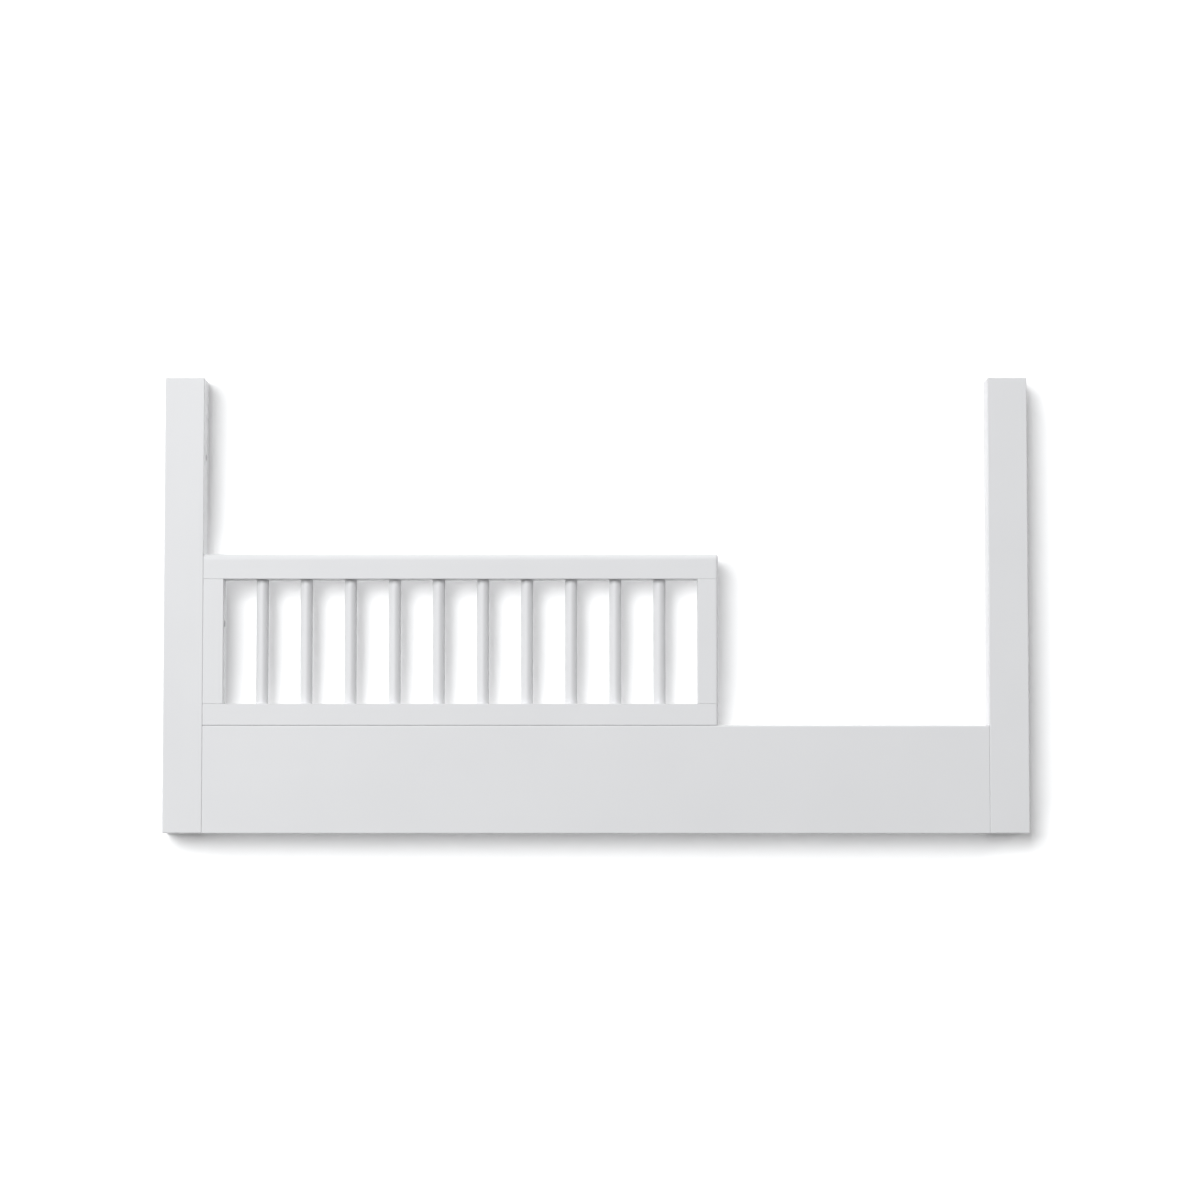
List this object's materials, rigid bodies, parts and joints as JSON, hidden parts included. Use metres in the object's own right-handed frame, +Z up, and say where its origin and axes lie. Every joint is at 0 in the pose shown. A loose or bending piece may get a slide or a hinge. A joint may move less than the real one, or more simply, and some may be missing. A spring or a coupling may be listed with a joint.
{
  "type": "toddler bed front side",
  "caption": "Front side of a white wooden toddler bed: full-height posts, a deep low rail and a short spindled guard rail beside an open entry gap.",
  "frame": {"origin": "on the floor, in the middle of the footprint's box", "axes": "+X along the length, from the guard's post to the plain post; the front faces -Y; +Z up"},
  "size_m": [1.335, 0.061, 0.705],
  "materials": {
    "white_lacquer": "satin white lacquer on wood",
    "beech": "bare beech dowel",
    "zinc_steel": "bright zinc-plated steel"
  },
  "bodies": {
    "root": {"left_post": "white_lacquer", "right_post": "white_lacquer", "front_rail": "white_lacquer", "guard_bottom_rail": "white_lacquer", "guard_top_rail": "white_lacquer", "guard_left_stile": "white_lacquer", "guard_right_stile": "white_lacquer", "spindle_01": "white_lacquer", "spindle_02": "white_lacquer", "spindle_03": "white_lacquer", "spindle_04": "white_lacquer", "spindle_05": "white_lacquer", "spindle_06": "white_lacquer", "spindle_07": "white_lacquer", "spindle_08": "white_lacquer", "spindle_09": "white_lacquer", "spindle_10": "white_lacquer", "rail_dowels": "beech", "stile_dowels": "beech", "guard_dowels": "beech", "rail_bolts": "zinc_steel", "rail_bolt_washers": "zinc_steel", "rail_barrel_nuts": "zinc_steel", "guard_bolts": "zinc_steel", "guard_bolt_washers": "zinc_steel", "guard_inserts": "zinc_steel", "end_panel_inserts": "zinc_steel"}
  },
  "joints": []
}
